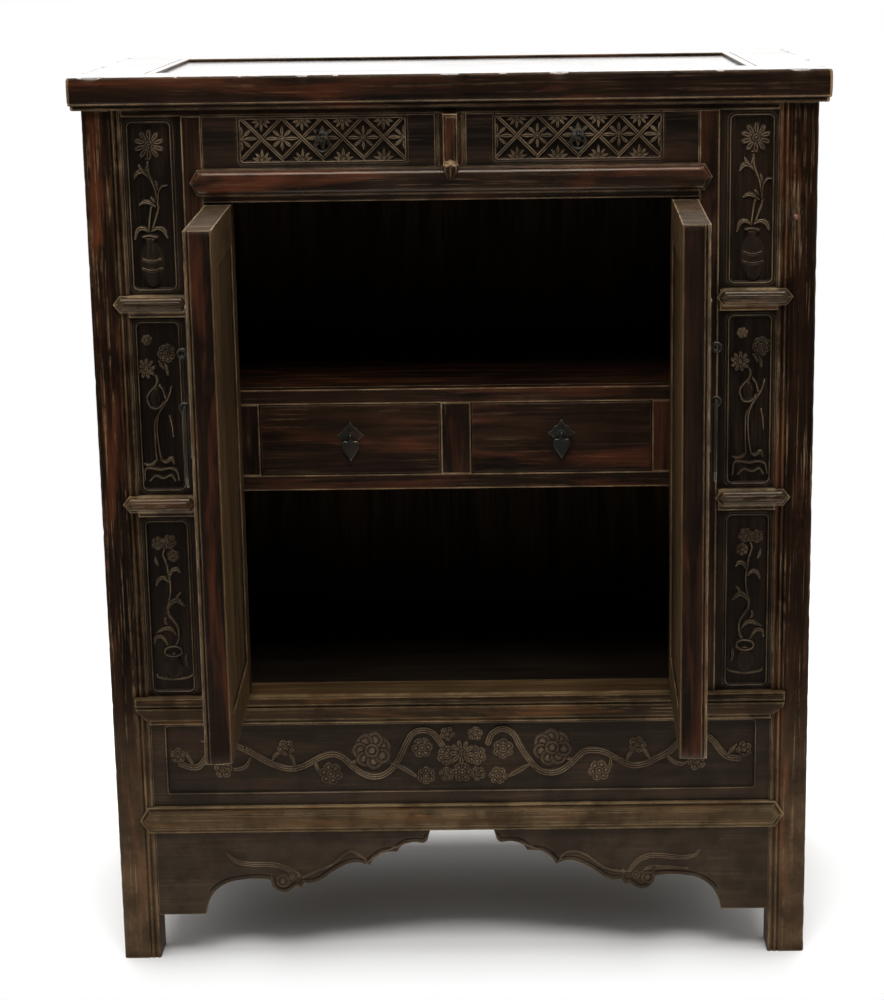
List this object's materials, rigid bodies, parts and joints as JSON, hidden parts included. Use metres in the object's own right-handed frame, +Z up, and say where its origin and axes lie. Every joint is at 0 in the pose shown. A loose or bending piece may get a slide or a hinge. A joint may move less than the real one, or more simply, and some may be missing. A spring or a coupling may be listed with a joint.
{
  "type": "kang cabinet",
  "caption": "Low east Asian kang cabinet with frame-and-panel doors, carved panels, drawers above and inside, moulded rails, scrolled aprons and iron drop pulls.",
  "frame": {"origin": "on the floor, at the middle of the outline with the doors standing open as stored", "axes": "+Z up, -Y is the front, +X is the right-hand side seen from the front"},
  "size_m": [0.886, 0.7456, 1.1],
  "materials": {
    "lacquered_wood": "satin, worn to tan at the edges",
    "carved_wood": "satin, dark in the carving",
    "red_lacquer": "satin",
    "raw_wood": "matt",
    "iron": "dull, rubbed bright on the eyes"
  },
  "bodies": {
    "root": {"back_panels": "raw_wood", "back_rails": "raw_wood", "base_rail": "lacquered_wood", "bottom_board": "raw_wood", "compartment_floor": "raw_wood", "drawer_divider": "red_lacquer", "drawer_rail": "lacquered_wood", "front_left_post": "lacquered_wood", "front_right_post": "lacquered_wood", "front_top_rail": "lacquered_wood", "inner_drawer_rails": "lacquered_wood", "inner_drawer_stiles": "lacquered_wood", "left_apron": "carved_wood", "left_carved_panels": "carved_wood", "left_door_post": "lacquered_wood", "left_side_panels": "lacquered_wood", "left_side_rails": "lacquered_wood", "lower_carved_panel": "carved_wood", "rear_left_post": "lacquered_wood", "rear_right_post": "lacquered_wood", "right_apron": "carved_wood", "right_carved_panels": "carved_wood", "right_door_post": "lacquered_wood", "right_side_panels": "lacquered_wood", "right_side_rails": "lacquered_wood", "runners_and_cleats": "raw_wood", "shelf_board": "raw_wood", "short_panel_rails": "lacquered_wood", "sill_rail": "lacquered_wood", "top_battens": "raw_wood", "top_frame": "lacquered_wood", "top_panel": "lacquered_wood"},
    "left_door": {"left_door_hinge_stile": "lacquered_wood", "left_door_free_stile": "lacquered_wood", "left_door_rails": "lacquered_wood", "left_door_panel": "lacquered_wood", "left_door_plate": "iron"},
    "left_door_pull": {"left_door_pull": "iron"},
    "left_upper_drawer": {"left_upper_drawer_front": "red_lacquer", "left_upper_drawer_box": "raw_wood", "left_upper_drawer_fitting": "iron"},
    "left_upper_drawer_pull": {"left_upper_drawer_pull": "iron"},
    "left_inner_drawer": {"left_inner_drawer_front": "red_lacquer", "left_inner_drawer_box": "raw_wood", "left_inner_drawer_fitting": "iron"},
    "left_inner_drawer_pull": {"left_inner_drawer_pull": "iron"},
    "right_door": {"right_door_hinge_stile": "lacquered_wood", "right_door_free_stile": "lacquered_wood", "right_door_rails": "lacquered_wood", "right_door_panel": "lacquered_wood", "right_door_plate": "iron"},
    "right_door_pull": {"right_door_pull": "iron"},
    "right_upper_drawer": {"right_upper_drawer_front": "red_lacquer", "right_upper_drawer_box": "raw_wood", "right_upper_drawer_fitting": "iron"},
    "right_upper_drawer_pull": {"right_upper_drawer_pull": "iron"},
    "right_inner_drawer": {"right_inner_drawer_front": "red_lacquer", "right_inner_drawer_box": "raw_wood", "right_inner_drawer_fitting": "iron"},
    "right_inner_drawer_pull": {"right_inner_drawer_pull": "iron"}
  },
  "joints": [
    {"name": "left_door_hinge", "type": "hinge", "parent": "root", "child": "left_door", "pos_m": [-0.2745, -0.09873, 0.3475], "axis": [0, 0, -1], "range_deg": [-88.6, 4]},
    {"name": "left_door_pull_swing", "type": "hinge", "parent": "left_door", "child": "left_door_pull", "pos_m": [-0.29122, -0.35196, 0.755], "axis": [-0.0244, 0.9997, 0], "range_deg": [0, 80]},
    {"name": "left_upper_drawer_slide", "type": "slide", "parent": "root", "child": "left_upper_drawer", "axis": [0, -1, 0], "range_m": [0, 0.28]},
    {"name": "left_inner_drawer_slide", "type": "slide", "parent": "root", "child": "left_inner_drawer", "axis": [0, -1, 0], "range_m": [0, 0.26]},
    {"name": "left_upper_drawer_pull_swing", "type": "hinge", "parent": "left_upper_drawer", "child": "left_upper_drawer_pull", "pos_m": [-0.149, -0.11913, 1.0285], "axis": [-1, 0, 0], "range_deg": [0, 80]},
    {"name": "left_inner_drawer_pull_swing", "type": "hinge", "parent": "left_inner_drawer", "child": "left_inner_drawer_pull", "pos_m": [-0.1285, -0.08081, 0.665], "axis": [-1, 0, 0], "range_deg": [0, 80]},
    {"name": "right_door_hinge", "type": "hinge", "parent": "root", "child": "right_door", "pos_m": [0.2745, -0.09873, 0.3475], "axis": [0, 0, 1], "range_deg": [-88.6, 4]},
    {"name": "right_door_pull_swing", "type": "hinge", "parent": "right_door", "child": "right_door_pull", "pos_m": [0.29122, -0.35196, 0.755], "axis": [-0.0244, -0.9997, 0], "range_deg": [0, 80]},
    {"name": "right_upper_drawer_slide", "type": "slide", "parent": "root", "child": "right_upper_drawer", "axis": [0, -1, 0], "range_m": [0, 0.28]},
    {"name": "right_inner_drawer_slide", "type": "slide", "parent": "root", "child": "right_inner_drawer", "axis": [0, -1, 0], "range_m": [0, 0.26]},
    {"name": "right_upper_drawer_pull_swing", "type": "hinge", "parent": "right_upper_drawer", "child": "right_upper_drawer_pull", "pos_m": [0.149, -0.11913, 1.0285], "axis": [-1, 0, 0], "range_deg": [0, 80]},
    {"name": "right_inner_drawer_pull_swing", "type": "hinge", "parent": "right_inner_drawer", "child": "right_inner_drawer_pull", "pos_m": [0.1285, -0.08081, 0.665], "axis": [-1, 0, 0], "range_deg": [0, 80]}
  ]
}
